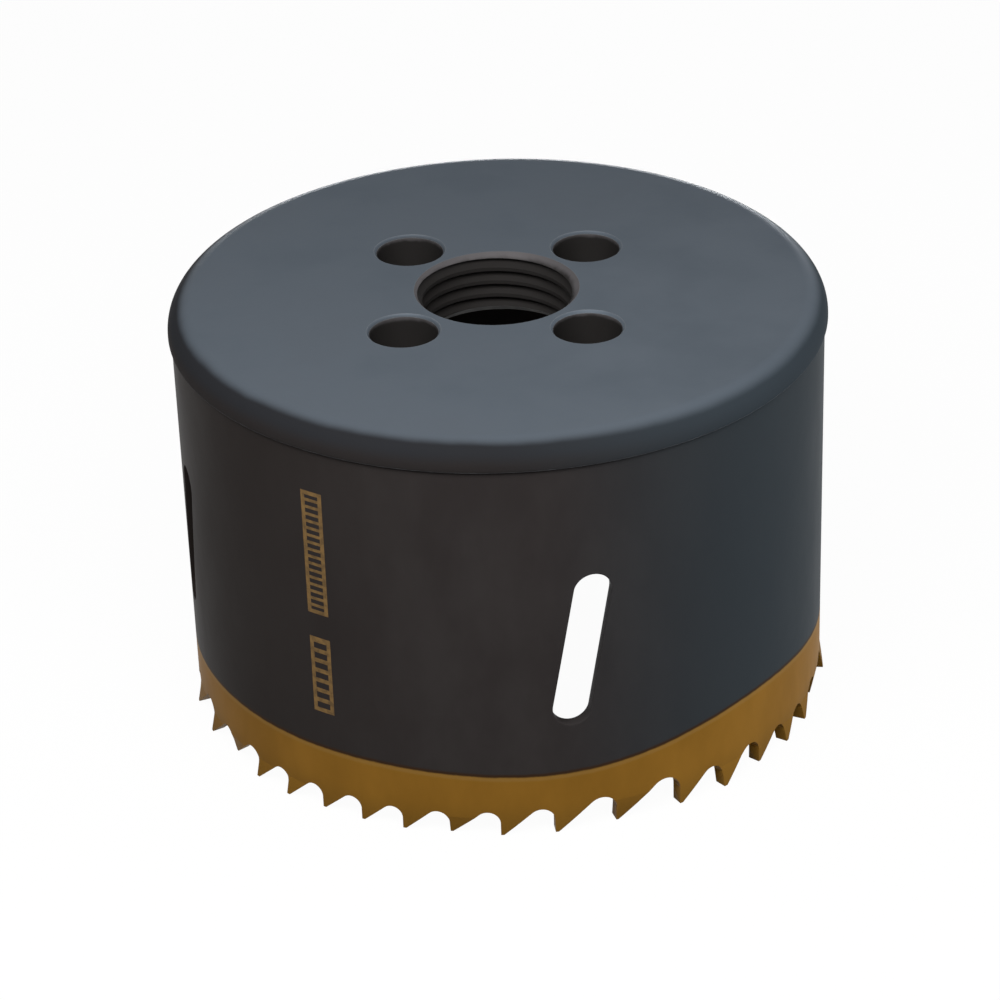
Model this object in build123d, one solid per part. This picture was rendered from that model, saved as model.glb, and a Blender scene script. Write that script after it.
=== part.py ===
from build123d import *
from math import asin, atan2, cos, degrees, hypot, pi, radians, sin
import os

# A bi-metal hole saw: a steel cup with saw teeth round its open rim.
#
# Frame: millimetres. Z is the axis of rotation and +Z points to the back plate. The origin is on
# the axis, in the plane of the tooth tips. Angles are measured round the axis from -Y towards +X,
# so a growing angle runs anticlockwise seen from the back plate. The saw cuts the other way round,
# clockwise, and so the steep front of every tooth faces towards a falling angle.
#
# Pieces: the back plate is turned and welded to the cup wall, which is a rolled strip with its ends
# butt-welded. The tooth band is the high-speed-steel edge of that strip, welded on before the teeth
# are milled and set.

# Driving dimensions, in millimetres and degrees.
CUTTING_DIAMETER = 64.0   # across the teeth that are bent outwards: the size of the hole it cuts
CUP_HEIGHT = 42.1         # tooth tips to the back face
WALL = 1.2                # thickness of the rolled strip
BAND_HEIGHT = 6.8         # height of the high-speed-steel edge, tips included

# Back plate.
PLATE_THICKNESS = 6.35    # 1/4 inch plate
FLANGE_THICKNESS = 2.7    # the part of the plate that sits on the wall
FLANGE_OVERHANG = 0.3     # how far the flange stands out past the wall
SHOULDER_RADIUS = 2.4
SHOULDER_FLATS = 6        # short flats that follow the shoulder's round, 0.02 mm off it at most
EDGE_BREAK = 0.2          # small chamfer on the wall's top edge, which leaves the joint's fine groove
SPIGOT_CLEARANCE = 0.05   # spigot to the inside of the wall

# Arbor thread, 5/8 inch with 18 threads to the inch. The hole is drawn at its minor diameter.
THREAD_MINOR_DIAMETER = 14.5
THREAD_CHAMFER = 0.75

# Holes for the drive pins of the arbor.
PIN_HOLE_DIAMETER = 6.6
PIN_HOLE_COUNT = 4
PIN_CIRCLE_DIAMETER = 24.6
FIRST_PIN_ANGLE = 45.0

# Chip slots: slanted obrounds cut straight through the wall.
SLOT_COUNT = 4
SLOT_WIDTH = 3.65
SLOT_LENGTH = 16.1        # end to end, along the slant
SLOT_SLANT = 10.2         # lean of the slot's top away from the axis direction
SLOT_CENTRE_HEIGHT = 19.85
FIRST_SLOT_ANGLE = 14.0

# Teeth. The pitch varies so that the saw runs without chatter, and the tips are set in turn.
TOOTH_SET = 0.4           # sideways bend at the tip
OUT = 1
STRAIGHT = 0
IN = -1
TOOTH_SERIES = [          # pitch to the next tooth, and the way that the tooth is bent
    (5.8, OUT), (4.6, OUT), (5.0, IN), (4.4, OUT), (4.3, OUT),
    (4.4, STRAIGHT), (4.3, STRAIGHT), (4.6, STRAIGHT), (4.9, IN), (5.2, STRAIGHT),
    (6.1, STRAIGHT), (6.7, IN), (5.1, STRAIGHT), (5.4, OUT), (4.5, STRAIGHT),
    (4.3, OUT), (4.8, OUT), (4.9, IN), (4.9, OUT), (5.1, STRAIGHT),
]
FIRST_TOOTH_ANGLE = -77.5
GULLET_DEPTH_SHARE = 0.52   # of the pitch
GULLET_RADIUS_SHARE = 0.25  # of the pitch
BEND_SHARE = 0.8            # of the gullet depth beside it, at which the bend of a tooth starts
TIP_LAND = 0.3              # flat left at the very tip
CUTTER_MARGIN = 1.0         # how far every cutter runs past the metal

# Worked out from the above.
wall_outer_radius = CUTTING_DIAMETER / 2 - TOOTH_SET
wall_inner_radius = wall_outer_radius - WALL
joint_height = CUP_HEIGHT - FLANGE_THICKNESS
plate_underside = CUP_HEIGHT - PLATE_THICKNESS


def outward(angle):
    """Unit vector pointing away from the axis at an angle round the saw."""
    return Vector(sin(radians(angle)), -cos(radians(angle)), 0)


def facing_plane(angle):
    """Plane through the axis that faces outwards: x runs round the saw, y runs up it."""
    return Plane(origin=(0, 0, 0), x_dir=Vector(0, 0, 1).cross(outward(angle)), z_dir=outward(angle))


def section_plane(angle):
    """Plane through the axis that holds a section of the cup: x runs outwards, y runs up."""
    return Plane(origin=(0, 0, 0), x_dir=outward(angle), z_dir=outward(angle).cross(Vector(0, 0, 1)))


def make_back_plate():
    """Turned plate: a flange with a rounded shoulder, a spigot, the arbor hole and the pin holes."""
    flange_radius = wall_outer_radius + FLANGE_OVERHANG
    spigot_radius = wall_inner_radius - SPIGOT_CLEARANCE
    shoulder_radius = min(SHOULDER_RADIUS, FLANGE_THICKNESS)
    thread_radius = THREAD_MINOR_DIAMETER / 2
    mouth_radius = thread_radius + THREAD_CHAMFER
    shoulder = []
    for flat in range(SHOULDER_FLATS + 1):
        turn = pi / 2 * flat / SHOULDER_FLATS
        shoulder.append((
            flange_radius - shoulder_radius * (1 - cos(turn)),
            CUP_HEIGHT - shoulder_radius * (1 - sin(turn)),
        ))
    hole_and_spigot = [
        (mouth_radius, CUP_HEIGHT),
        (thread_radius, CUP_HEIGHT - THREAD_CHAMFER),
        (thread_radius, plate_underside + THREAD_CHAMFER),
        (mouth_radius, plate_underside),
        (spigot_radius, plate_underside),
        (spigot_radius, joint_height),
        (flange_radius, joint_height),
    ]
    outline = make_face(Polyline(*hole_and_spigot, *shoulder, close=True))
    plate = revolve(section_plane(0) * outline, Axis.Z)
    pin_hole = Pos(0, 0, CUP_HEIGHT - PLATE_THICKNESS / 2) * Cylinder(PIN_HOLE_DIAMETER / 2, PLATE_THICKNESS)
    pin_places = PolarLocations(PIN_CIRCLE_DIAMETER / 2, PIN_HOLE_COUNT, start_angle=FIRST_PIN_ANGLE)
    return plate - [place * pin_hole for place in pin_places]


def make_cup_wall():
    """Rolled strip from the tooth band up to the back plate, with its slanted slots."""
    outline = [
        (wall_inner_radius, BAND_HEIGHT),
        (wall_outer_radius, BAND_HEIGHT),
        (wall_outer_radius, joint_height - EDGE_BREAK),
        (wall_outer_radius - EDGE_BREAK, joint_height),
        (wall_inner_radius, joint_height),
    ]
    wall = revolve(section_plane(0) * make_face(Polyline(*outline, close=True)), Axis.Z)
    slot_outline = Pos(0, SLOT_CENTRE_HEIGHT) * SlotOverall(SLOT_LENGTH, SLOT_WIDTH, rotation=90 - SLOT_SLANT)
    slots = []
    for step in range(SLOT_COUNT):
        angle = FIRST_SLOT_ANGLE + step * 360 / SLOT_COUNT
        slots.append(extrude(facing_plane(angle) * slot_outline, wall_outer_radius + CUTTER_MARGIN))
    return wall - slots


def tooth_layout():
    """Lay the series of teeth round the rim: as many as fit, their pitches trimmed to close it."""
    rim = 2 * pi * wall_outer_radius
    mean_pitch = sum(pitch for pitch, side in TOOTH_SERIES) / len(TOOTH_SERIES)
    count = round(rim / mean_pitch)
    teeth = [TOOTH_SERIES[index % len(TOOTH_SERIES)] for index in range(count)]
    trim = rim / sum(pitch for pitch, side in teeth)
    layout = []
    angle = FIRST_TOOTH_ANGLE
    for pitch, side in teeth:
        layout.append((angle, pitch * trim, side))
        angle += 360 * pitch * trim / rim
    return layout


def make_gap(next_angle, pitch):
    """Cutter for the gap behind a tooth: its sloping back, the round gullet and the next steep front."""
    depth = GULLET_DEPTH_SHARE * pitch
    radius = GULLET_RADIUS_SHARE * pitch
    back_start = -wall_outer_radius * sin(pitch / wall_outer_radius) + TIP_LAND
    centre_x = -radius
    centre_y = depth - radius
    reach = hypot(centre_x - back_start, centre_y)
    slope = atan2(centre_y, centre_x - back_start) + asin(radius / reach)
    gullet = CenterArc((centre_x, centre_y), radius, 0, 90 + degrees(slope))
    below = [(back_start, 0), (back_start, -CUTTER_MARGIN), (0, -CUTTER_MARGIN)]
    outline = make_face(Curve() + [gullet, Polyline(gullet @ 1, *below, gullet @ 0)])
    return extrude(facing_plane(next_angle) * outline, wall_outer_radius + TOOTH_SET + CUTTER_MARGIN)


def make_sector(start, end, bend_height, offset):
    """Stretch of the strip that one tooth is milled from, its lower edge bent sideways by the offset."""
    inner_edge = [(wall_inner_radius + offset, 0)]
    outer_edge = [(wall_outer_radius + offset, 0)]
    if offset:
        inner_edge.append((wall_inner_radius, bend_height))
        outer_edge.append((wall_outer_radius, bend_height))
    top = [(wall_outer_radius, BAND_HEIGHT), (wall_inner_radius, BAND_HEIGHT)]
    section = make_face(Polyline(*outer_edge, *top, *reversed(inner_edge), close=True))
    return revolve(section_plane(start) * section, Axis.Z, end - start)


def make_tooth_band():
    """High-speed-steel edge: a ring of milled and set teeth, each in a sector from gullet to gullet."""
    layout = tooth_layout()
    degrees_per_mm = degrees(1 / wall_outer_radius)
    teeth = []
    for index, (angle, pitch, side) in enumerate(layout):
        pitch_before = layout[index - 1][1]
        next_angle = angle + pitch * degrees_per_mm
        start = angle - GULLET_RADIUS_SHARE * pitch_before * degrees_per_mm
        end = next_angle - GULLET_RADIUS_SHARE * pitch * degrees_per_mm
        bend_height = BEND_SHARE * GULLET_DEPTH_SHARE * min(pitch, pitch_before)
        sector = make_sector(start, end, bend_height, side * TOOTH_SET)
        teeth.append(sector - make_gap(angle, pitch_before) - make_gap(next_angle, pitch))
    return teeth[0] + teeth[1:]


os.makedirs("parts", exist_ok=True)
for name, make in (
    ("back_plate", make_back_plate),
    ("cup_wall", make_cup_wall),
    ("tooth_band", make_tooth_band),
):
    piece = make()
    export_step(piece, f"parts/{name}.step")
    print(name, "volume", round(piece.volume, 1), "solids", len(piece.solids()))
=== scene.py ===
# %% [markdown]
# # A hole saw, dressed for its picture
#
# A hole saw is a short steel cup with teeth round its open rim. Three pieces make it: a thick
# turned back plate with a threaded hole, a thin wall rolled from strip, and a ring of teeth. The
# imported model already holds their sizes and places. This lesson gives each piece its real edges
# and finish, and changes no size.
#
# Everything is in metres here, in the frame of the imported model: Z is the axis of the saw, the
# teeth stand on z = 0 and the back plate is on top. Angles round the saw are measured from -Y
# towards +X.

# %% Load the frame
from math import cos, pi, radians, sin

import bpy
from mathutils import Matrix, Vector


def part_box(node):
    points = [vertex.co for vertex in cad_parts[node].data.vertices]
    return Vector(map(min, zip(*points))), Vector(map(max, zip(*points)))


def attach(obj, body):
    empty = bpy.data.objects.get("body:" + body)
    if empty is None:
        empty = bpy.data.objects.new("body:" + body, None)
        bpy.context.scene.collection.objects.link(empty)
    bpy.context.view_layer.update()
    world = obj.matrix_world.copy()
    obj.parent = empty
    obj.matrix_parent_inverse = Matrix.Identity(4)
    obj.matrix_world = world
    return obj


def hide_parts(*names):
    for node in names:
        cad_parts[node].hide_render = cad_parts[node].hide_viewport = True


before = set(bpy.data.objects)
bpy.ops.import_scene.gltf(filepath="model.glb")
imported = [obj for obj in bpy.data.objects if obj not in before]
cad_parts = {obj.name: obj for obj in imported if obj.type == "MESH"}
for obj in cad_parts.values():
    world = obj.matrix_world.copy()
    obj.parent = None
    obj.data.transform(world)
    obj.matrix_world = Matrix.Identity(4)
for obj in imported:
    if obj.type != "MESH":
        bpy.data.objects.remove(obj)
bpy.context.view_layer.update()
MM = 0.001

# %% [markdown]
# ## Sizes
#
# The lengths are in millimetres, as on a workshop drawing, and `MM` turns them into metres where
# they are used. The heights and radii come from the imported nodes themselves, so they follow the
# model. Only what the nodes can't tell, such as the thread's pitch, is written here.

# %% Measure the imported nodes
plate_low, plate_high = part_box("back_plate")
wall_low, wall_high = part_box("cup_wall")
back_face = plate_high[2] / MM
plate_underside = plate_low[2] / MM
joint_height = wall_high[2] / MM
band_top = wall_low[2] / MM
flange_radius = plate_high[0] / MM
wall_radius = wall_high[0] / MM
print("back face", round(back_face, 2), "joint", round(joint_height, 2), "band top", round(band_top, 2))
print("flange radius", round(flange_radius, 2), "wall radius", round(wall_radius, 2))

# %% Sizes that only a drawing tells
WALL = 1.2                 # thickness of the rolled strip
SPIGOT_CLEARANCE = 0.05
SHOULDER_RADIUS = 2.4
FLANGE_EDGE_BREAK = 0.12
THREAD_MAJOR_RADIUS = 7.94   # 5/8 inch
THREAD_MINOR_RADIUS = 7.25
THREAD_PITCH = 1.411         # 18 threads to the inch
THREAD_CHAMFER = 0.75
PIN_HOLE_RADIUS = 3.3
PIN_CIRCLE_RADIUS = 12.3
PIN_HOLE_COUNT = 4
FIRST_PIN_ANGLE = 45
SLOT_COUNT = 4
SLOT_WIDTH = 3.65
SLOT_LENGTH = 16.1
SLOT_SLANT = 10.2
SLOT_CENTRE_HEIGHT = 19.85
FIRST_SLOT_ANGLE = 14
print("thread depth", round(THREAD_MAJOR_RADIUS - THREAD_MINOR_RADIUS, 2), "mm")

# %% [markdown]
# ## The camera
#
# The saw is seen from a little above, from far away through a long lens, so that its ellipses are
# calm and nearly parallel. The camera is built the way a photographer talks about it: how far
# round the object, how high above the horizon, how far away, how it leans, and how far the frame
# is moved sideways and up from the middle of the rim.

# %% Place the camera
CAMERA_AROUND = 1.632        # degrees from -Y towards +X
CAMERA_ABOVE = 29.768        # degrees above the horizon
CAMERA_LEAN = -1.958         # degrees the frame is turned about the line of sight
CAMERA_DISTANCE = 365.97     # mm
FRAME_RIGHT = -0.934         # mm, along the frame
FRAME_UP = 16.013            # mm, along the frame
LENS = 128.73                # mm, on a sensor 36 mm wide

around, above, lean = radians(CAMERA_AROUND), radians(CAMERA_ABOVE), radians(CAMERA_LEAN)
towards_camera = Vector((sin(around) * cos(above), -cos(around) * cos(above), sin(above)))
level_right = Vector((cos(around), sin(around), 0))
level_up = towards_camera.cross(level_right)
frame_right = cos(lean) * level_right + sin(lean) * level_up
frame_up = cos(lean) * level_up - sin(lean) * level_right
camera_place = MM * (CAMERA_DISTANCE * towards_camera + FRAME_RIGHT * frame_right + FRAME_UP * frame_up)

camera_data = bpy.data.cameras.new("camera")
camera_data.lens = LENS
camera_data.sensor_width = 36
camera_data.clip_start = 0.01
camera = bpy.data.objects.new("camera", camera_data)
bpy.context.collection.objects.link(camera)
turned = Matrix((frame_right, frame_up, towards_camera)).transposed().to_4x4()
camera.matrix_world = Matrix.Translation(camera_place) @ turned
bpy.context.scene.camera = camera
print("camera at", [round(value / MM, 1) for value in camera_place], "mm")

# %% [markdown]
# ## Small helpers for modelling
#
# Blender's operators act on whatever is selected, and in edit mode on the selected corners, edges
# and faces. So each piece starts from a clean selection, and each cut or bevel first picks its
# edges by where they are. These helpers keep that in one place.


# %% Helpers that select, name and pick
def start_clean():
    """Leave edit mode and let go of everything."""
    if bpy.context.mode != "OBJECT":
        bpy.ops.object.mode_set(mode="OBJECT")
    bpy.ops.object.select_all(action="DESELECT")


def take(piece):
    """Make one object the only selected and active one."""
    start_clean()
    piece.select_set(True)
    bpy.context.view_layer.objects.active = piece


def named(name):
    """Name the primitive that was just added, and rest its origin on the frame's origin."""
    piece = bpy.context.object
    piece.name = piece.data.name = name
    bpy.ops.object.transform_apply(location=True, rotation=True, scale=True)
    return piece


def pick(piece, kind, wanted):
    """In edit mode, select the corners, edges or faces for which wanted(element centre) is true."""
    take(piece)
    bpy.ops.object.mode_set(mode="EDIT")
    bpy.ops.mesh.select_mode(type=kind)
    bpy.ops.mesh.select_all(action="DESELECT")
    bpy.ops.object.mode_set(mode="OBJECT")
    corners = [corner.co / MM for corner in piece.data.vertices]
    count = 0
    if kind == "VERT":
        for corner in piece.data.vertices:
            corner.select = wanted(corner.co / MM)
            count += corner.select
    elif kind == "EDGE":
        for edge in piece.data.edges:
            edge.select = all(wanted(corners[index]) for index in edge.vertices)
            count += edge.select
    else:
        for face in piece.data.polygons:
            face.select = all(wanted(corners[index]) for index in face.vertices)
            count += face.select
    bpy.ops.object.mode_set(mode="EDIT")
    return count


def radius_of(point):
    return Vector((point.x, point.y)).length


def near(value, target, slack=0.02):
    return abs(value - target) < slack


# %% Helpers that apply, cut and count
def apply_all(piece):
    """Turn every modifier of a piece into plain mesh."""
    take(piece)
    for name in [modifier.name for modifier in piece.modifiers]:
        bpy.ops.object.modifier_apply(modifier=name)


def cut(piece, cutters):
    """Take the cutters away from the piece, and throw the cutters away."""
    for cutter in cutters:
        modifier = piece.modifiers.new("cut", "BOOLEAN")
        modifier.operation = "DIFFERENCE"
        modifier.solver = "EXACT"
        modifier.object = cutter
    apply_all(piece)
    for cutter in cutters:
        bpy.data.objects.remove(cutter)


def count_triangles(piece):
    piece.data.calc_loop_triangles()
    print(piece.name, "triangles:", len(piece.data.loop_triangles))


# %% [markdown]
# ### Shading round steel
#
# Every round surface here is made of flat faces, and a smooth finish shows them as soon as light
# grazes it. More faces would hide them at a cost. Smooth shading hides them for nothing, as long as
# the normals are right: on the plate the large flat faces lead, and on a rolled or milled ring each
# face that lies round the axis takes the normal of the true cylinder.


# %% Helpers that shade
def shade_turned(piece):
    """Smooth the round surfaces, keep the corners sharp and let the large flat faces lead."""
    take(piece)
    bpy.ops.object.shade_smooth_by_angle(angle=radians(30))
    modifier = piece.modifiers.new("lead", "WEIGHTED_NORMAL")
    modifier.keep_sharp = True
    modifier.weight = 80
    apply_all(piece)
    count_triangles(piece)


def shade_rolled(piece):
    """Shade every face that lies round the axis as part of one true cylinder or cone."""
    take(piece)
    bpy.ops.object.shade_smooth_by_angle(angle=radians(30))
    mesh = piece.data
    normals = [Vector(corner.vector) for corner in mesh.corner_normals]
    for face in mesh.polygons:
        middle = Vector((face.center.x, face.center.y, 0)).normalized()
        facing = face.normal.dot(middle)
        if abs(facing) > 0.9:
            for loop in face.loop_indices:
                corner = mesh.vertices[mesh.loops[loop].vertex_index].co
                away = Vector((corner.x, corner.y, 0)).normalized() * (1 if facing > 0 else -1)
                normals[loop] = (away + Vector((0, 0, face.normal.z))).normalized()
    mesh.normals_split_custom_set(normals)
    count_triangles(piece)


# %% [markdown]
# ## The back plate
#
# The plate is turned from bar on a lathe. Its flange lies on the wall and has a large round
# shoulder, and a spigot below the flange drops inside the wall, where the two are welded. It
# could be one outline spun about the axis. Here it starts as a disc instead, because a disc shows
# the order of the real work: face it, round the shoulder, break the lower edge, turn the spigot.

# %% Turn the blank of the plate
ROUND_STEPS = 288            # corners round the saw's large circles
flange_thickness = back_face - joint_height
spigot_radius = wall_radius - WALL - SPIGOT_CLEARANCE

start_clean()
bpy.ops.mesh.primitive_cylinder_add(
    vertices=ROUND_STEPS, radius=flange_radius * MM, depth=flange_thickness * MM,
    location=(0, 0, (joint_height + flange_thickness / 2) * MM))
plate = named("threaded_back_plate")

picked = pick(plate, "EDGE", lambda point: near(point.z, back_face))
bpy.ops.mesh.bevel(offset=SHOULDER_RADIUS * MM, segments=16, profile=0.5, affect="EDGES")
print("edges rounded into the shoulder:", picked)

pick(plate, "EDGE", lambda point: near(point.z, joint_height) and near(radius_of(point), flange_radius))
bpy.ops.mesh.bevel(offset=FLANGE_EDGE_BREAK * MM, segments=2, profile=0.5, affect="EDGES")
pick(plate, "FACE", lambda point: near(point.z, joint_height))
bpy.ops.mesh.inset(thickness=(flange_radius - FLANGE_EDGE_BREAK - spigot_radius) * MM)
spigot_drop = (plate_underside - joint_height) * MM
bpy.ops.mesh.extrude_region_move(TRANSFORM_OT_translate={"value": (0, 0, spigot_drop)})
start_clean()
print("spigot radius", round(spigot_radius, 2), "and drop", round(joint_height - plate_underside, 2), "mm")

# %% [markdown]
# ### The arbor thread
#
# The middle hole takes the nose of an arbor with a 5/8 inch thread, 18 turns to the inch. From
# this side its turns show as fine dark rings. A picture of a thread could be painted with bump,
# but the hole is deep enough to look into, so it is cut for real: one tooth of the thread is drawn
# as a line and swept round and up by the Screw modifier, like the tap that cuts the hole. The
# same cut makes the countersinks and the four holes for the drive pins.


# %% Make the tap
def draw_line(name, points):
    """Draw a chain of edges as by hand: one corner, extruded from point to point."""
    start_clean()
    bpy.ops.mesh.primitive_plane_add(size=MM, location=Vector(points[0]) * MM)
    piece = named(name)
    bpy.ops.object.mode_set(mode="EDIT")
    bpy.ops.mesh.select_mode(type="VERT")
    bpy.ops.mesh.select_all(action="SELECT")
    bpy.ops.mesh.merge(type="CENTER")
    for before, after in zip(points, points[1:]):
        step = (Vector(after) - Vector(before)) * MM
        bpy.ops.mesh.extrude_region_move(TRANSFORM_OT_translate={"value": step})
    bpy.ops.object.mode_set(mode="OBJECT")
    return piece


OVERRUN = 0.5                # how far a cutter runs past the metal
SPARE_TURNS = 5              # swept beyond the plate, and trimmed off later
TURNS_BELOW = 2              # of those, how many lie below the plate
HOLE_STEPS = 96              # corners round the threaded hole
CREST_JOIN = 0.00001         # m, corners of neighbouring turns that are this close become one
crest = THREAD_PITCH / 8
root = THREAD_PITCH / 4
flank = (THREAD_PITCH - crest - root) / 2
turns = int((back_face - plate_underside) / THREAD_PITCH) + SPARE_TURNS
tap_start = plate_underside - TURNS_BELOW * THREAD_PITCH
tap = draw_line("tap", [
    (THREAD_MINOR_RADIUS, 0, tap_start),
    (THREAD_MINOR_RADIUS, 0, tap_start + root),
    (THREAD_MAJOR_RADIUS, 0, tap_start + root + flank),
    (THREAD_MAJOR_RADIUS, 0, tap_start + root + flank + crest),
    (THREAD_MINOR_RADIUS, 0, tap_start + THREAD_PITCH),
])
screw = tap.modifiers.new("thread", "SCREW")
screw.axis = "Z"
screw.angle = 2 * pi
screw.screw_offset = THREAD_PITCH * MM
screw.iterations = turns
screw.steps = screw.render_steps = HOLE_STEPS
screw.use_merge_vertices = True
screw.merge_threshold = CREST_JOIN
apply_all(tap)
print("turns of thread in the plate:", round((back_face - plate_underside) / THREAD_PITCH, 1))

# %% Trim the tap just outside the plate and close its ends
TAP_JOIN = 0.00002           # m
bpy.ops.object.mode_set(mode="EDIT")
for height, above_it in ((plate_underside - OVERRUN, False), (back_face + OVERRUN, True)):
    bpy.ops.mesh.select_all(action="SELECT")
    bpy.ops.mesh.bisect(
        plane_co=(0, 0, height * MM), plane_no=(0, 0, 1), threshold=0.0000001,
        use_fill=True, clear_outer=above_it, clear_inner=not above_it)
bpy.ops.mesh.select_all(action="SELECT")
bpy.ops.mesh.remove_doubles(threshold=TAP_JOIN)
bpy.ops.mesh.normals_make_consistent(inside=False)
bpy.ops.object.mode_set(mode="OBJECT")
count_triangles(tap)


# %% Make the countersinks and the pin drills
PIN_HOLE_STEPS = 64          # corners round a pin hole
PIN_EDGE_BREAK = 0.25


def countersink(name, face_height, way):
    """Cone that breaks the mouth of the threaded hole; way is 1 at the back face and -1 below."""
    wide = THREAD_MINOR_RADIUS + THREAD_CHAMFER + OVERRUN
    narrow = THREAD_MINOR_RADIUS - OVERRUN
    start_clean()
    bpy.ops.mesh.primitive_cone_add(
        vertices=HOLE_STEPS, radius1=narrow * MM, radius2=wide * MM, depth=(wide - narrow) * MM,
        location=(0, 0, (face_height + way * (OVERRUN - (wide - narrow) / 2)) * MM),
        rotation=(0 if way > 0 else pi, 0, 0))
    return named(name)


def pin_drill(angle):
    """Drill for a drive-pin hole, with a flare at each end that breaks the edge of the hole."""
    start_clean()
    place = Vector((sin(radians(angle)), -cos(radians(angle)), 0)) * PIN_CIRCLE_RADIUS
    length = back_face - plate_underside - 2 * PIN_EDGE_BREAK
    bpy.ops.mesh.primitive_cylinder_add(
        vertices=PIN_HOLE_STEPS, radius=PIN_HOLE_RADIUS * MM, depth=length * MM,
        location=(place.x * MM, place.y * MM, (back_face + plate_underside) / 2 * MM))
    drill = named(f"pin_drill_{round(angle)}")
    flare = (PIN_HOLE_RADIUS + 2 * PIN_EDGE_BREAK) / PIN_HOLE_RADIUS
    for end, way in ((back_face - PIN_EDGE_BREAK, 1), (plate_underside + PIN_EDGE_BREAK, -1)):
        pick(drill, "FACE", lambda point: near(point.z, end))
        outwards = (0, 0, way * 2 * PIN_EDGE_BREAK * MM)
        bpy.ops.mesh.extrude_region_move(TRANSFORM_OT_translate={"value": outwards})
        bpy.ops.transform.resize(value=(flare, flare, 1), center_override=(place.x * MM, place.y * MM, 0))
    start_clean()
    return drill


drills = [pin_drill(FIRST_PIN_ANGLE + step * 360 / PIN_HOLE_COUNT) for step in range(PIN_HOLE_COUNT)]
sinks = [countersink("sink_above", back_face, 1), countersink("sink_below", plate_underside, -1)]
cut(plate, [tap] + sinks + drills)
shade_turned(plate)

# %% [markdown]
# ## The cup wall
#
# The wall is a strip of spring steel rolled into a ring. Four slanted slots are punched through
# it, so that a lever can push the cut plug out. A tube is the natural start: an open cylinder
# given its thickness inwards, so that its outside keeps the measured radius. The slots are cut by
# stretched round bars, and then every edge of a slot gets the small round that punching and
# coating leave. That fine edge is what makes the slot look like metal.

# %% Roll the wall
EDGE_BREAK = 0.2
start_clean()
bpy.ops.mesh.primitive_cylinder_add(
    vertices=ROUND_STEPS, radius=wall_radius * MM, depth=(joint_height - band_top) * MM,
    location=(0, 0, (joint_height + band_top) / 2 * MM), end_fill_type="NOTHING")
wall = named("rolled_wall")
thickness = wall.modifiers.new("thickness", "SOLIDIFY")
thickness.thickness = WALL * MM
thickness.offset = -1
apply_all(wall)
pick(wall, "EDGE", lambda point: near(point.z, joint_height) and near(radius_of(point), wall_radius))
bpy.ops.mesh.bevel(offset=EDGE_BREAK * MM, segments=2, profile=0.5, affect="EDGES")
start_clean()
count_triangles(wall)


# %% Punch the slots
SLOT_STEPS = 64              # corners round a punch
PUNCH_LENGTH = 8 * WALL      # long enough for the curve of the wall
slot_reach = (SLOT_LENGTH - SLOT_WIDTH) / 2   # from the middle of a slot to the centre of each round end


def slot_punch(angle):
    """Round bar across the wall, its two halves pulled apart along the slant of the slot."""
    start_clean()
    half_a_step = pi / SLOT_STEPS   # a turn that keeps the corners off the line between the halves
    bpy.ops.mesh.primitive_cylinder_add(
        vertices=SLOT_STEPS, radius=SLOT_WIDTH / 2 * MM, depth=PUNCH_LENGTH * MM,
        location=(0, -wall_radius * MM, SLOT_CENTRE_HEIGHT * MM), rotation=(pi / 2, half_a_step, 0))
    punch = named(f"slot_punch_{round(angle)}")
    along = Vector((sin(radians(SLOT_SLANT)), 0, cos(radians(SLOT_SLANT))))
    centre = Vector((0, -wall_radius, SLOT_CENTRE_HEIGHT))
    for way in (1, -1):
        pick(punch, "VERT", lambda point: way * (point - centre).dot(along) > 0)
        bpy.ops.transform.translate(value=way * slot_reach * MM * along)
        bpy.ops.object.mode_set(mode="OBJECT")
    take(punch)
    punch.rotation_euler.z = radians(angle)
    bpy.ops.object.transform_apply(rotation=True)
    return punch


slot_angles = [FIRST_SLOT_ANGLE + step * 360 / SLOT_COUNT for step in range(SLOT_COUNT)]
cut(wall, [slot_punch(angle) for angle in slot_angles])
print("slots at", slot_angles, "degrees")


# %% Round the rims of the slots
SLOT_ROUNDING = 0.12
RIM_SLACK = 0.03             # how far from its drawn line a corner of a rim may lie


def from_slot_line(point, angle):
    """How far a point lies from the middle line of the slot at an angle, seen straight on."""
    seen = Matrix.Rotation(radians(-angle), 3, "Z") @ point
    if seen.y > 0:
        return SLOT_LENGTH
    along = Vector((sin(radians(SLOT_SLANT)), cos(radians(SLOT_SLANT))))
    place = Vector((seen.x, seen.z - SLOT_CENTRE_HEIGHT))
    return (place - along * max(-slot_reach, min(slot_reach, place.dot(along)))).length


for radius in (wall_radius, wall_radius - WALL):
    for angle in slot_angles:
        picked = pick(wall, "EDGE", lambda point: near(radius_of(point), radius, RIM_SLACK)
                      and near(from_slot_line(point, angle), SLOT_WIDTH / 2, RIM_SLACK))
        bpy.ops.mesh.bevel(offset=SLOT_ROUNDING * MM, segments=2, profile=0.5, affect="EDGES")
        print("slot rim at", angle, "degrees, edges rounded:", picked)
start_clean()
shade_rolled(wall)

# %% [markdown]
# ## The teeth
#
# The teeth are milled from a strip of high-speed steel, and their pitch changes round the rim so
# that the saw doesn't chatter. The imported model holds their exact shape, but its mesh is loose
# triangles. So a copy is welded together, and the faces that lie round the axis are shaded as one
# true cylinder, while the milled edges stay crisp.

# %% Copy and weld the tooth ring
TOOTH_JOIN = 0.000002        # m, corners of loose triangles that are this close become one
start_clean()
teeth = bpy.data.objects.new("tooth_ring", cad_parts["tooth_band"].data.copy())
teeth.data.name = "tooth_ring"
bpy.context.collection.objects.link(teeth)
take(teeth)
bpy.ops.object.mode_set(mode="EDIT")
bpy.ops.mesh.select_all(action="SELECT")
bpy.ops.mesh.remove_doubles(threshold=TOOTH_JOIN)
start_clean()
shade_rolled(teeth)

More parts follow.
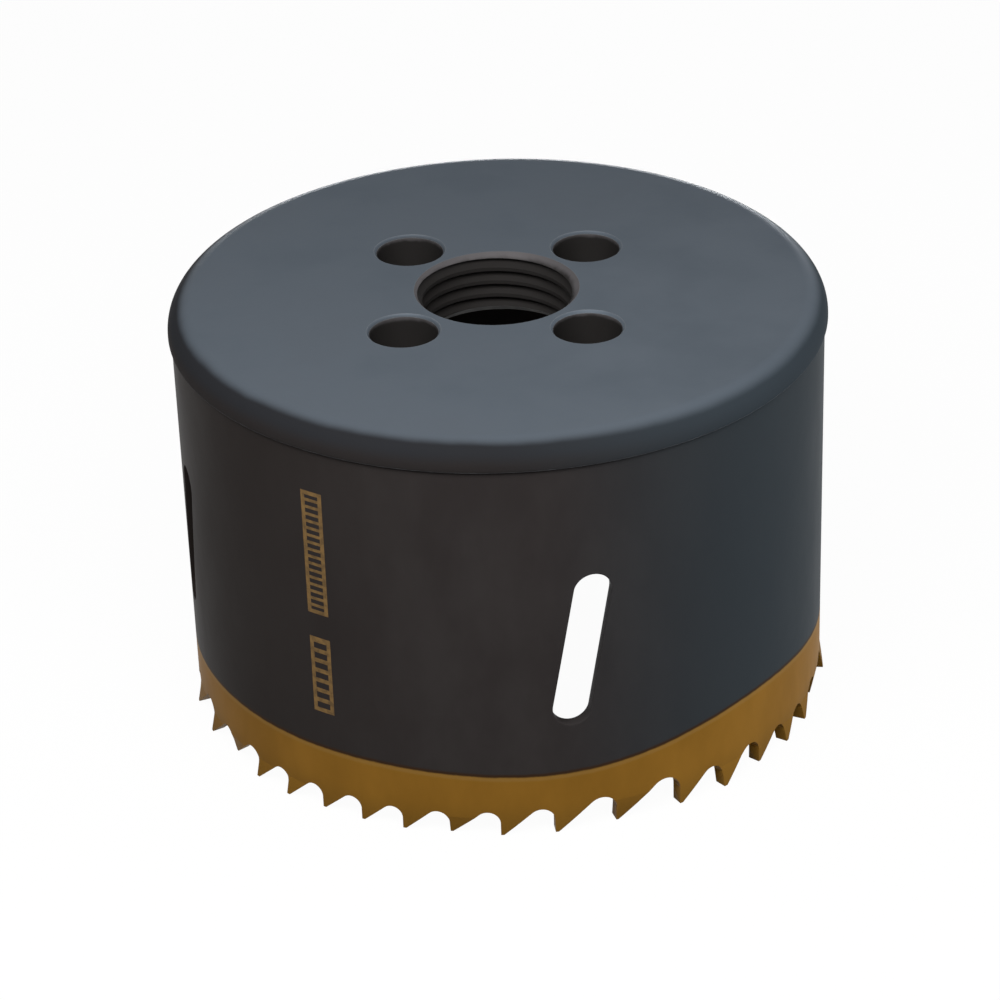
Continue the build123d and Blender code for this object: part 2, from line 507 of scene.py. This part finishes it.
# %% [markdown]
# ## Small helpers for materials
#
# A finish is a tree of nodes. These helpers add one node at a time and link or set its sockets by
# name, so that a tree reads like a recipe.


# %% Helpers that add a node and do sums
def node(tree, kind, sockets={}, **settings):
    """Add a node, change its settings, and link or set its inputs."""
    made = tree.nodes.new("ShaderNode" + kind)
    for name, value in settings.items():
        setattr(made, name, value)
    for name, value in sockets.items():
        if isinstance(value, bpy.types.NodeSocket):
            tree.links.new(value, made.inputs[name])
        else:
            made.inputs[name].default_value = value
    return made


def calc(tree, operation, first, second=0.0, third=0.0):
    """One step of arithmetic on numbers or sockets."""
    return node(tree, "Math", {0: first, 1: second, 2: third}, operation=operation).outputs[0]


def smooth_step(tree, value, low, high):
    """0 below low, 1 above high, and a soft change between them."""
    ramp = node(tree, "MapRange", {"Value": value, "From Min": low, "From Max": high},
                interpolation_type="SMOOTHSTEP")
    return ramp.outputs["Result"]


# %% Helpers that tell where on the saw a point lies
def round_and_up(tree):
    """Angle round the saw in radians, from -Y towards +X, and height in millimetres."""
    axes = node(tree, "SeparateXYZ", {0: node(tree, "TexCoord").outputs["Object"]}).outputs
    turn = calc(tree, "ARCTAN2", axes[0], calc(tree, "MULTIPLY", axes[1], -1.0))
    return turn, calc(tree, "MULTIPLY", axes[2], 1 / MM)


def from_axis(tree):
    """Distance from the saw's axis in metres."""
    flat_place = node(tree, "VectorMath", {
        0: node(tree, "TexCoord").outputs["Object"], 1: (1, 1, 0)}, operation="MULTIPLY").outputs[0]
    return node(tree, "VectorMath", {0: flat_place}, operation="LENGTH").outputs["Value"]


# %% Helpers for colours, groups and materials
def blend(tree, share, first, second):
    """Mix two colours: all of the first at share 0, all of the second at share 1."""
    mix = node(tree, "Mix", {"Factor": share}, data_type="RGBA")
    for index, value in ((6, first), (7, second)):
        if isinstance(value, bpy.types.NodeSocket):
            tree.links.new(value, mix.inputs[index])
        else:
            mix.inputs[index].default_value = value
    return mix.outputs[2]


def new_group(name, inputs, outputs):
    """Start a node group with named inputs (and their first values) and outputs."""
    group = bpy.data.node_groups.new(name, "ShaderNodeTree")
    for socket_name, kind, value in inputs:
        socket = group.interface.new_socket(socket_name, in_out="INPUT", socket_type="NodeSocket" + kind)
        socket.default_value = value
    for socket_name, kind in outputs:
        group.interface.new_socket(socket_name, in_out="OUTPUT", socket_type="NodeSocket" + kind)
    ends = group.nodes.new("NodeGroupInput"), group.nodes.new("NodeGroupOutput")
    print("group", name, "gives", [socket_name for socket_name, kind in outputs])
    return group, ends[0].outputs, ends[1].inputs


def use_group(tree, group, sockets={}):
    """Place a node group in a tree, and link or set its inputs."""
    placed = node(tree, "Group", {}, node_tree=group)
    for name, value in sockets.items():
        if isinstance(value, bpy.types.NodeSocket):
            tree.links.new(value, placed.inputs[name])
        else:
            placed.inputs[name].default_value = value
    return placed.outputs


def new_material(name):
    """Start a material and return its tree and its Principled shader."""
    material = bpy.data.materials.new(name)
    material.use_nodes = True
    tree = material.node_tree
    print("material", name)
    return material, tree, tree.nodes["Principled BSDF"]


# %% [markdown]
# ## Effects that several finishes share
#
# Sprayed and baked coats have two kinds of unevenness. One is a fine grain that breaks up the
# highlight, and the other is a slow cloudiness in the colour and the gloss. Both come from noise
# laid out in the object's own space, so they stick to the surface from every side.

# %% Group: grain of a satin coat
WAVES_PER_MM = 0.45          # of the slow unevenness under the fine grain
grain, given, result = new_group(
    "satin_grain",
    [("Grain Size mm", "Float", 0.2), ("Depth mm", "Float", 0.004), ("Wave Depth mm", "Float", 0.01)],
    [("Normal", "Vector")])
place = node(grain, "TexCoord").outputs["Object"]
in_mm = node(grain, "VectorMath", {0: place, "Scale": 1 / MM}, operation="SCALE").outputs[0]
fine_scale = calc(grain, "DIVIDE", 1.0, given["Grain Size mm"])
fine = node(grain, "TexNoise", {
    "Vector": in_mm, "Scale": fine_scale, "Detail": 2.0, "Roughness": 0.6}).outputs[0]
slow = node(grain, "TexNoise", {"Vector": in_mm, "Scale": WAVES_PER_MM, "Detail": 1.0}).outputs[0]
slow_bump = node(grain, "Bump", {
    "Height": slow, "Distance": calc(grain, "MULTIPLY", given["Wave Depth mm"], MM)})
fine_bump = node(grain, "Bump", {
    "Height": fine, "Distance": calc(grain, "MULTIPLY", given["Depth mm"], MM),
    "Normal": slow_bump.outputs[0]})
grain.links.new(fine_bump.outputs[0], result["Normal"])

# %% Group: slow clouds in colour and gloss
CLOUD_FADE = (0.3, 0.7)      # noise values between which a cloud grows from nothing to full
clouds, given, result = new_group(
    "soft_clouds", [("Cloud Size mm", "Float", 9.0), ("Stretch Up", "Float", 1.0)], [("Amount", "Float")])
place = node(clouds, "TexCoord").outputs["Object"]
stretch = node(clouds, "CombineXYZ", {0: 1 / MM, 1: 1 / MM})
clouds.links.new(calc(clouds, "DIVIDE", 1 / MM, given["Stretch Up"]), stretch.inputs[2])
laid = node(clouds, "VectorMath", {0: place, 1: stretch.outputs[0]}, operation="MULTIPLY").outputs[0]
cloud_scale = calc(clouds, "DIVIDE", 1.0, given["Cloud Size mm"])
noise = node(clouds, "TexNoise", {
    "Vector": laid, "Scale": cloud_scale, "Detail": 4.0, "Roughness": 0.55}).outputs[0]
clouds.links.new(smooth_step(clouds, noise, *CLOUD_FADE), result["Amount"])

# %% [markdown]
# ### Rubbed edges
#
# Handling rubs a coat through to the steel along its edges. They could be painted by hand. Here
# the Bevel node finds them: near an edge, the normal of a slightly rounded copy of the surface
# turns away from the real one. Clouds then thin the wear in places, so that it isn't an outline.

# %% Group: rubbed edges
EDGE_TURN = (0.005, 0.08)    # one minus the cosine of that turn, between full coat and bare steel
rubbed, given, result = new_group(
    "rubbed_edges", [("Width mm", "Float", 0.2), ("Patchiness", "Float", 0.5)], [("Mask", "Float")])
width = calc(rubbed, "MULTIPLY", given["Width mm"], MM)
rounded = node(rubbed, "Bevel", {"Radius": width}, samples=6).outputs[0]
flat = node(rubbed, "NewGeometry").outputs["Normal"]
same = node(rubbed, "VectorMath", {0: rounded, 1: flat}, operation="DOT_PRODUCT").outputs["Value"]
bare = smooth_step(rubbed, calc(rubbed, "SUBTRACT", 1.0, same), *EDGE_TURN)
patches = use_group(rubbed, clouds, {"Cloud Size mm": 1.5})["Amount"]
kept = calc(rubbed, "MULTIPLY", patches, given["Patchiness"])
rubbed.links.new(calc(rubbed, "MULTIPLY", bare, calc(rubbed, "SUBTRACT", 1.0, kept)), result["Mask"])

# %% [markdown]
# ### The gold band
#
# The teeth are dipped in gold paint after the body has its dark coat. The paint line isn't a
# perfect circle: it rises and falls by a millimetre or two as the saw leaves the bath. A band cut
# off at one height would look printed, so its edge is a sum of a few slow waves round the rim,
# with a little roughness. Just below the edge the paint lies thicker and paler, and just above it
# a thin brown fringe stains the dark coat. All three masks are measured in widths of the soft edge.

# %% Group: where the gold paint lies
PAINT_EDGE_HEIGHT = 6.95     # mm above the tooth tips, on average
PAINT_WAVES = [              # times round the rim, height in mm, angle of the first crest
    (1, 0.45, 70), (2, 0.30, 45), (3, 0.30, 60), (4, 0.42, 52), (6, 0.2, 48),
]
PAINT_RAGGEDNESS = 0.12      # mm, height of the small unevenness on top of the waves
RAGGED_SCALE = 900.0         # of its noise, per metre
RIM_FADE = (2.0, 5.0)        # soft widths below the edge, over which the thick paint ends
FRINGE_FADE = (-4.0, -1.5)   # soft widths below the edge (so above it), over which the fringe starts
gold_band, given, result = new_group(
    "gold_band", [("Softness mm", "Float", 0.12)], [("Mask", "Float"), ("Rim", "Float"), ("Fringe", "Float")])
place = node(gold_band, "TexCoord").outputs["Object"]
turn, height = round_and_up(gold_band)
edge = PAINT_EDGE_HEIGHT
for times, rise, crest_angle in PAINT_WAVES:
    phase = calc(gold_band, "MULTIPLY_ADD", turn, float(times), -radians(times * crest_angle))
    edge = calc(gold_band, "MULTIPLY_ADD", calc(gold_band, "COSINE", phase), rise, edge)
ragged = node(gold_band, "TexNoise", {"Vector": place, "Scale": RAGGED_SCALE, "Detail": 2.0}).outputs[0]
edge = calc(gold_band, "MULTIPLY_ADD", calc(gold_band, "SUBTRACT", ragged, 0.5), PAINT_RAGGEDNESS, edge)
soft_widths = calc(gold_band, "DIVIDE", calc(gold_band, "SUBTRACT", edge, height), given["Softness mm"])
gold_band.links.new(smooth_step(gold_band, soft_widths, -1.0, 1.0), result["Mask"])
rim_end = smooth_step(gold_band, soft_widths, *RIM_FADE)
gold_band.links.new(calc(gold_band, "SUBTRACT", 1.0, rim_end), result["Rim"])
gold_band.links.new(smooth_step(gold_band, soft_widths, *FRINGE_FADE), result["Fringe"])

# %% [markdown]
# ### The printed strip
#
# A thin strip of gold print runs down the wall. Here it is two framed ladders of short bars, like
# a depth scale: they say nothing, and they put a touch of gold where such a saw has its print.

# %% Group: the printed ladders
PRINT_ANGLE = -34.4          # degrees round the saw, at the left edge of the print
PRINT_WIDTH = 2.3            # mm
FRAME_LINE = 0.42            # mm, width of the lines round each block
PRINT_BLOCKS = [             # bottom, top, spacing of the rungs, all in mm
    (21.9, 35.0, 0.75),
    (11.0, 19.3, 1.1),
]
RUNG_SHARE = 0.42            # of the spacing that is ink
PRINT_REACH = 0.1            # how far below the outer face a point may lie and still be printed

print_bars, given, result = new_group("print_bars", [("Wear", "Float", 0.5)], [("Mask", "Float")])
turn, height = round_and_up(print_bars)
across = calc(print_bars, "MULTIPLY", calc(print_bars, "SUBTRACT", turn, radians(PRINT_ANGLE)), wall_radius)
side_gap = calc(print_bars, "MINIMUM", across, calc(print_bars, "SUBTRACT", PRINT_WIDTH, across))
ink = 0.0
for bottom, top, spacing in PRINT_BLOCKS:
    above = calc(print_bars, "SUBTRACT", height, bottom)
    end_gap = calc(print_bars, "MINIMUM", above, calc(print_bars, "SUBTRACT", top, height))
    gap = calc(print_bars, "MINIMUM", side_gap, end_gap)
    inside = calc(print_bars, "GREATER_THAN", gap, 0.0)
    outline = calc(print_bars, "LESS_THAN", gap, FRAME_LINE)
    step = calc(print_bars, "FRACT", calc(print_bars, "DIVIDE", above, spacing))
    rungs = calc(print_bars, "LESS_THAN", step, RUNG_SHARE)
    block = calc(print_bars, "MULTIPLY", inside, calc(print_bars, "MAXIMUM", outline, rungs))
    ink = calc(print_bars, "MAXIMUM", ink, block)
thin = use_group(print_bars, clouds, {"Cloud Size mm": 0.6})["Amount"]
worn = calc(print_bars, "MULTIPLY", thin, given["Wear"])
ink = calc(print_bars, "MULTIPLY", ink, calc(print_bars, "SUBTRACT", 1.0, worn))
on_the_outside = calc(print_bars, "GREATER_THAN", from_axis(print_bars), (wall_radius - PRINT_REACH) * MM)
ink = calc(print_bars, "MULTIPLY", ink, on_the_outside)
print_bars.links.new(ink, result["Mask"])

# %% [markdown]
# ### The butt weld
#
# The strip is rolled into a ring and its two ends are welded together. The weld is ground flush
# before the coat goes on, so at the back of the saw it is only a faint upright trace: a slight
# ridge, a little lighter than the coat beside it. It wanders by a fraction of a millimetre.

# %% Group: the trace of the butt weld
SEAM_ANGLE = 149             # degrees round the saw, midway between two slots
SEAM_WIDTH = 1.3             # mm
SEAM_FADE = (0.2 * SEAM_WIDTH, 0.5 * SEAM_WIDTH)   # mm from its middle line, over which it ends
RIPPLES_PER_MM = 0.8         # along the weld

weld_seam, given, result = new_group("weld_seam", [("Unevenness", "Float", 0.5)], [("Mask", "Float")])
turn, height = round_and_up(weld_seam)
aside = calc(weld_seam, "MULTIPLY", calc(weld_seam, "SUBTRACT", turn, radians(SEAM_ANGLE)), wall_radius)
ripple = node(weld_seam, "TexNoise", {
    "Vector": node(weld_seam, "CombineXYZ", {2: height}).outputs[0],
    "Scale": RIPPLES_PER_MM, "Detail": 2.0}).outputs[0]
wander = calc(weld_seam, "MULTIPLY", calc(weld_seam, "SUBTRACT", ripple, 0.5), given["Unevenness"])
from_seam = calc(weld_seam, "ABSOLUTE", calc(weld_seam, "ADD", aside, wander))
away = smooth_step(weld_seam, from_seam, *SEAM_FADE)
weld_seam.links.new(calc(weld_seam, "SUBTRACT", 1.0, away), result["Mask"])

# %% [markdown]
# ## The finishes
#
# Each finish is one Principled shader, fed by the groups above. The saw's dark coat is painted
# bluer towards one side, a painted cool sheen, and darker and browner towards the other, a painted
# shade. So two finishes ask how near a point is to the side with the painted sheen, and two ask how
# far it lies below the back face, where the shoulder and the holes get painted shade.


# %% Helpers that the finishes share
SHEEN_SIDE = 75               # degrees round the saw, where the painted cool sheen is strongest


def towards_sheen_side(tree, turn):
    """1 where the painted sheen is strongest, -1 straight across from it, where the wall's painted shade is
    deepest.
    """
    return calc(tree, "COSINE", calc(tree, "SUBTRACT", turn, radians(SHEEN_SIDE)))


def below_back_face(tree, height, cloud, wander):
    """Millimetres below the back face, shifted a little by the clouds so that no line is perfect."""
    fall = calc(tree, "SUBTRACT", back_face, height)
    return calc(tree, "MULTIPLY_ADD", cloud, wander, fall)


# %% [markdown]
# ### The plate
#
# The face is a blue-grey satin coat, worn a little metallic. The shoulder and the flange are painted
# much darker and duller, a painted shade where they turn away from the light above, with a painted
# cool sheen on one side. Two materials would meet in a hard line, so one material blends by height:
# the painted shade sets in at once where the shoulder starts to fall.

# %% Finish of the plate
PLATE_BLUE_GREY = (0.112, 0.134, 0.161, 1)
PLATE_DEEP = (0.094, 0.114, 0.138, 1)
RUBBED_STEEL = (0.22, 0.235, 0.25, 1)
# The next three colours are painted light on the plate: the shoulder and the flange are painted darker than
# the face as a painted shade, and bluer on one side as a painted cool sheen.
SHOULDER_PAINTED_SHADE = (0.0185, 0.0195, 0.0225, 1)
FLANGE_PAINTED_SHADE = (0.0215, 0.0190, 0.0190, 1)
FLANGE_PAINTED_SHEEN = (0.0275, 0.0360, 0.0440, 1)
SHOULDER_SHADE_FADE = 0.6          # mm below the back face, at which the painted shade is full
SHEEN_SIDE_FADE = 0.4              # mm more on the side with the painted sheen
FLANGE_FADE = (1.0, 2.2)     # mm below the back face, between the shoulder's painted shade and the flange's
FLANGE_SHEEN_RANGE = (0.2, 1.0)     # towards the sheen side, between no painted sheen and all of it
FADE_WANDER = 0.15           # mm by which the clouds shift these heights
FACE_METALLIC = 0.2
FACE_ROUGHNESS = 0.46
CLOUD_GLOSS = 0.06           # how much smoother a cloud is
COAT_ROUGHNESS = 0.35        # how much rougher the shoulder and the flange are, under the painted shade

plate_finish, tree, shader = new_material("plate_satin_blue_grey")
cloud = use_group(tree, clouds, {"Cloud Size mm": 11.0})["Amount"]
surface = use_group(tree, grain, {"Grain Size mm": 0.35, "Depth mm": 0.006, "Wave Depth mm": 0.02})
edges = use_group(tree, rubbed, {"Width mm": 0.12, "Patchiness": 0.6})
face = blend(tree, cloud, PLATE_DEEP, PLATE_BLUE_GREY)
turn, height = round_and_up(tree)
fall = below_back_face(tree, height, cloud, FADE_WANDER)
sheen_share = smooth_step(tree, towards_sheen_side(tree, turn), *FLANGE_SHEEN_RANGE)
# Painted shade on the shoulder: full a little below the back face, and a little lower on the side with the
# painted sheen.
coat_and_painted_light = smooth_step(tree, fall, 0.0, calc(tree, "MULTIPLY_ADD", sheen_share, SHEEN_SIDE_FADE, SHOULDER_SHADE_FADE))
flange = blend(tree, sheen_share, FLANGE_PAINTED_SHADE, FLANGE_PAINTED_SHEEN)
shoulder = blend(tree, sheen_share, SHOULDER_PAINTED_SHADE, FLANGE_PAINTED_SHEEN)
shoulder = blend(tree, smooth_step(tree, fall, *FLANGE_FADE), shoulder, flange)
colour = blend(tree, coat_and_painted_light, face, shoulder)
lit_face_share = calc(tree, "SUBTRACT", 1.0, coat_and_painted_light)
tree.links.new(calc(tree, "MULTIPLY", lit_face_share, FACE_METALLIC), shader.inputs["Metallic"])
tree.links.new(blend(tree, edges["Mask"], colour, RUBBED_STEEL), shader.inputs["Base Color"])
satin = calc(tree, "MULTIPLY_ADD", cloud, -CLOUD_GLOSS, FACE_ROUGHNESS)
tree.links.new(calc(tree, "MULTIPLY_ADD", coat_and_painted_light, COAT_ROUGHNESS, satin), shader.inputs["Roughness"])
tree.links.new(surface["Normal"], shader.inputs["Normal"])
shader.inputs["Specular IOR Level"].default_value = 0.05

# %% [markdown]
# ### Inside the holes
#
# The holes are drilled and tapped through the coat, so their mouths show cut steel. Further in the
# steel is painted much darker, a painted shade of the deep holes, and hardly shines. A second material
# on the faces of the holes is simpler than a mask here, because the holes end in sharp edges.

# %% Finish inside the holes
CUT_STEEL = (0.095, 0.090, 0.094, 1)
# The next colour is painted shade: the steel is painted darker further into the holes.
HOLE_PAINTED_SHADE = (0.0215, 0.0200, 0.0195, 1)
HOLE_SHADE_FADE = (0.3, 0.8)        # mm below the back face, between cut steel and painted shade
HOLE_SHADE_WANDER = 0.2             # mm by which the clouds shift these heights
HOLE_ROUGHNESS = 0.45
DULL_CLOUD = 0.15            # how much rougher a cloud is

hole_finish, tree, shader = new_material("cut_steel_with_painted_shade")
turn, height = round_and_up(tree)
cloud = use_group(tree, clouds, {"Cloud Size mm": 2.0})["Amount"]
# Painted shade, darker further into the hole.
hole_shade = smooth_step(tree, below_back_face(tree, height, cloud, HOLE_SHADE_WANDER), *HOLE_SHADE_FADE)
tree.links.new(blend(tree, hole_shade, CUT_STEEL, HOLE_PAINTED_SHADE), shader.inputs["Base Color"])
tree.links.new(calc(tree, "MULTIPLY_ADD", cloud, DULL_CLOUD, HOLE_ROUGHNESS), shader.inputs["Roughness"])
surface = use_group(tree, grain, {"Grain Size mm": 0.15, "Depth mm": 0.003, "Wave Depth mm": 0.0})
tree.links.new(surface["Normal"], shader.inputs["Normal"])
shader.inputs["Metallic"].default_value = 0.12
shader.inputs["Specular IOR Level"].default_value = 0.08

# %% [markdown]
# ### The cup
#
# The wall and the teeth are one rolled strip, dark all over and then dipped in gold, and the wavy
# edge of the paint runs close to the joint between the two. So both pieces get the same recipe,
# and the masks decide where it is coat, paint, print or weld, and where the coat gets a painted
# cool sheen on one side and a painted shade on the other. Towards the tips the gold is darker.

# %% Finish of the cup
WALL_BLACK = (0.0290, 0.0250, 0.0248, 1)
WALL_LIGHTER = (0.0365, 0.0325, 0.0320, 1)
# The next two colours are painted light on the wall: a painted cool sheen towards one side, and a darker
# painted shade towards the other.
WALL_PAINTED_SHEEN = (0.0270, 0.0345, 0.0405, 1)
WALL_PAINTED_SHADE = (0.0215, 0.0175, 0.0160, 1)
SEAM_STEEL = (0.060, 0.056, 0.054, 1)
GOLD = (0.255, 0.124, 0.0175, 1)
GOLD_DEEP = (0.212, 0.102, 0.0140, 1)
GOLD_TIPS = (0.120, 0.066, 0.0120, 1)
GOLD_RIM = (0.255, 0.150, 0.0430, 1)
FRINGE_BROWN = (0.036, 0.019, 0.010, 1)
PALE_INK = (0.215, 0.130, 0.050, 1)
WALL_SHEEN_RANGE = (0.35, 1.0)      # towards the sheen side, between no painted sheen and all of it
WALL_SHADE_RANGE = (-0.9, 0.3)     # towards the sheen side, between all painted shade and none
SEAM_SHARE = 0.4             # how far the weld takes on its own tone
SEAM_RIDGE = 0.03            # mm, how high it stands, as bump only
RIM_SHARE = 0.5              # how far the thick paint at the edge is paler
TIP_FADE = (0.0, 4.0)        # mm above the tooth tips, between the darker gold at the tips and the full gold
TIP_SHARE = 0.5
GOLD_METALLIC = 0.04
CUP_ROUGHNESS = 0.50
CUP_CLOUD_GLOSS = 0.05       # how much smoother a cloud is


def cup_finish(name):
    """Dark coat with the gold band, for the wall and for the teeth."""
    material, tree, shader = new_material(name)
    cloud = use_group(tree, clouds, {"Cloud Size mm": 7.0, "Stretch Up": 2.0})["Amount"]
    surface = use_group(tree, grain, {"Grain Size mm": 0.25, "Depth mm": 0.005, "Wave Depth mm": 0.015})
    band = use_group(tree, gold_band)
    ink = use_group(tree, print_bars)["Mask"]
    seam = use_group(tree, weld_seam)["Mask"]
    turn, height = round_and_up(tree)
    sheen_side_nearness = towards_sheen_side(tree, turn)
    coat_and_painted_light = blend(tree, cloud, WALL_BLACK, WALL_LIGHTER)
    # Painted cool sheen towards one side of the saw, painted shade towards the other.
    coat_and_painted_light = blend(tree, smooth_step(tree, sheen_side_nearness, *WALL_SHEEN_RANGE), coat_and_painted_light, WALL_PAINTED_SHEEN)
    coat_and_painted_light = blend(tree, smooth_step(tree, sheen_side_nearness, *WALL_SHADE_RANGE), WALL_PAINTED_SHADE, coat_and_painted_light)
    coat_and_painted_light = blend(tree, calc(tree, "MULTIPLY", seam, SEAM_SHARE), coat_and_painted_light, SEAM_STEEL)
    coat_and_painted_light = blend(tree, band["Fringe"], coat_and_painted_light, FRINGE_BROWN)
    gold = blend(tree, cloud, GOLD_DEEP, GOLD)
    gold = blend(tree, calc(tree, "MULTIPLY", band["Rim"], RIM_SHARE), gold, GOLD_RIM)
    to_tips = calc(tree, "SUBTRACT", 1.0, smooth_step(tree, height, *TIP_FADE))
    gold = blend(tree, calc(tree, "MULTIPLY", to_tips, TIP_SHARE), gold, GOLD_TIPS)
    colour = blend(tree, band["Mask"], coat_and_painted_light, gold)
    colour = blend(tree, ink, colour, PALE_INK)
    tree.links.new(colour, shader.inputs["Base Color"])
    is_gold = calc(tree, "MAXIMUM", band["Mask"], ink)
    tree.links.new(calc(tree, "MULTIPLY", is_gold, GOLD_METALLIC), shader.inputs["Metallic"])
    satin = calc(tree, "MULTIPLY_ADD", cloud, -CUP_CLOUD_GLOSS, CUP_ROUGHNESS)
    tree.links.new(satin, shader.inputs["Roughness"])
    ridge = node(tree, "Bump", {"Height": seam, "Distance": SEAM_RIDGE * MM, "Normal": surface["Normal"]})
    tree.links.new(ridge.outputs[0], shader.inputs["Normal"])
    shader.inputs["Specular IOR Level"].default_value = 0.02
    return material


wall_finish = cup_finish("wall_dark_coat")
tooth_finish = cup_finish("tooth_gold_paint")

# %% [markdown]
# ### Dressing the pieces
#
# Each visual piece gets its finish and is tied to the body it rides on, and the imported node that
# it replaces is hidden. Then the faces that lie in a hole are picked by place and given the finish
# of the holes.

# %% Dress the pieces
for piece, node_name, slot_name, finish in (
    (plate, "back_plate", "plate_steel", plate_finish),
    (wall, "cup_wall", "wall_steel", wall_finish),
    (teeth, "tooth_band", "tooth_steel", tooth_finish),
):
    piece.data.materials.clear()
    piece.data.materials.append(finish)
    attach(piece, "root")
    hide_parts(node_name)
print("dressed:", plate.name, wall.name, teeth.name)

# %% Give the holes their own finish
MOUTH_SLACK = 0.05           # mm beyond the countersink that still counts as hole
PIN_SLACK = 0.02             # mm beyond the wall of a pin hole that still counts as hole
pin_centres = [
    Vector((sin(radians(angle)), -cos(radians(angle)), 0)) * PIN_CIRCLE_RADIUS
    for angle in (FIRST_PIN_ANGLE + step * 360 / PIN_HOLE_COUNT for step in range(PIN_HOLE_COUNT))]


def in_a_hole(point):
    """True on the wall of a hole; the threaded one counts up to the outside of its countersink."""
    flat = Vector((point.x, point.y, 0))
    if flat.length < THREAD_MINOR_RADIUS + THREAD_CHAMFER + MOUTH_SLACK:
        return True
    return any((flat - centre).length < PIN_HOLE_RADIUS + PIN_SLACK for centre in pin_centres)


print("faces inside the holes:", pick(plate, "FACE", in_a_hole))
plate.data.materials.append(hole_finish)
plate.active_material_index = 1
bpy.ops.object.material_slot_assign()
start_clean()

# %% [markdown]
# ## The floor
#
# The saw stands on a plain white table. The table shows white to the camera and in reflections,
# and a share of its shading is left alone, so that the saw keeps a faint shadow at its feet. It
# throws less light back on the saw than it shows, so that the dark wall stays dark.

# %% Lay the floor
FLOOR_SIZE = 6.0             # m across
FLOOR_DROP = 0.00002         # m, so that the tooth tips and the floor don't share a plane
FLOOR_WHITE = (0.95, 0.95, 0.95, 1)
FLOOR_GREY = (0.40, 0.40, 0.40, 1)   # what the floor throws back on the saw
SHADOW_SHARE = 0.035         # how much of the floor's own shading the camera sees
start_clean()
bpy.ops.mesh.primitive_circle_add(
    vertices=96, radius=FLOOR_SIZE / 2, fill_type="NGON", location=(0, 0, -FLOOR_DROP))
floor = bpy.context.object
floor.name = floor.data.name = "white_table"
floor_finish, tree, shader = new_material("white_table")
shader.inputs["Roughness"].default_value = 0.9
shader.inputs["Specular IOR Level"].default_value = 0.1
white = node(tree, "Emission", {"Color": (1, 1, 1, 1), "Strength": 1.0})
path = node(tree, "LightPath").outputs
mirrored = calc(tree, "MAXIMUM", path["Is Glossy Ray"], path["Is Transmission Ray"])
seen = calc(tree, "MAXIMUM", path["Is Camera Ray"], mirrored)
tree.links.new(blend(tree, seen, FLOOR_GREY, FLOOR_WHITE), shader.inputs["Base Color"])
mix = node(tree, "MixShader", {"Fac": calc(tree, "MULTIPLY", seen, 1 - SHADOW_SHARE)})
tree.links.new(shader.outputs[0], mix.inputs[1])
tree.links.new(white.outputs[0], mix.inputs[2])
tree.links.new(mix.outputs[0], tree.nodes["Material Output"].inputs["Surface"])
floor.data.materials.append(floor_finish)

# %% [markdown]
# ## The light
#
# Three soft lamps light the saw at a plain level: one above and in front for the face of the plate,
# one at the right for the side of the wall, and a low one behind, which the smooth wall mirrors
# along its edges. Wide lamps are chosen because small ones would leave hard spots on the satin.


# %% Hang the lamps
def soft_lamp(name, place, width, height, power, colour):
    """Soft lamp with a rectangular face that looks at the middle of the saw."""
    lamp = bpy.data.lights.new(name, "AREA")
    lamp.shape = "RECTANGLE"
    lamp.size = width
    lamp.size_y = height
    lamp.energy = power
    lamp.color = colour
    holder = bpy.data.objects.new(name, lamp)
    holder.location = place
    aim = Vector((0, 0, back_face / 2 * MM)) - Vector(place)
    holder.rotation_euler = aim.to_track_quat("-Z", "Y").to_euler()
    bpy.context.collection.objects.link(holder)


LAMPS = [                    # name, place in m, width and height in m, power in W, colour
    ("overhead_lamp", (-0.015, -0.12, 0.18), 0.26, 0.08, 0.53, (1.0, 0.985, 0.97)),
    ("right_lamp", (0.45, 0.02, 0.05), 0.16, 0.10, 1.0, (0.95, 0.97, 1.0)),
    ("back_lamp", (0.0, 0.45, 0.022), 0.24, 0.04, 0.7, (0.95, 0.97, 1.0)),
]
for lamp in LAMPS:
    soft_lamp(*lamp)
print("lamps:", [lamp[0] for lamp in LAMPS])

# %% [markdown]
# ### The sky
#
# An even dim sky fills what the lamps leave. Reflections see a bright cove low over the horizon,
# like the sweep of paper behind a product, and the camera sees plain white.

# %% Light the sky
SKY_COLOUR = (0.97, 0.985, 1.0, 1)
SKY_LIGHT = 0.17             # strength of the sky that lights the saw
COVE_FOOT = 4                # degrees above the horizon, up to which reflections see full white
COVE_TOP = 20                # degrees above the horizon, at which the cove has faded into the sky

world = bpy.data.worlds.new("even_sky")
bpy.context.scene.world = world
world.use_nodes = True
tree = world.node_tree
sky = tree.nodes["Background"]
sky.inputs["Color"].default_value = SKY_COLOUR
path = node(tree, "LightPath").outputs
look = node(tree, "SeparateXYZ", {0: node(tree, "TexCoord").outputs["Generated"]}).outputs[2]
above_cove = smooth_step(tree, look, sin(radians(COVE_FOOT)), sin(radians(COVE_TOP)))
cove = calc(tree, "SUBTRACT", 1.0, above_cove)
mirrored = calc(tree, "MAXIMUM", path["Is Glossy Ray"], path["Is Transmission Ray"])
share = calc(tree, "MAXIMUM", path["Is Camera Ray"], calc(tree, "MULTIPLY", mirrored, cove))
tree.links.new(calc(tree, "MULTIPLY_ADD", share, 1 - SKY_LIGHT, SKY_LIGHT), sky.inputs["Strength"])
bpy.context.scene.view_settings.view_transform = "Standard"
print("sky light", SKY_LIGHT)
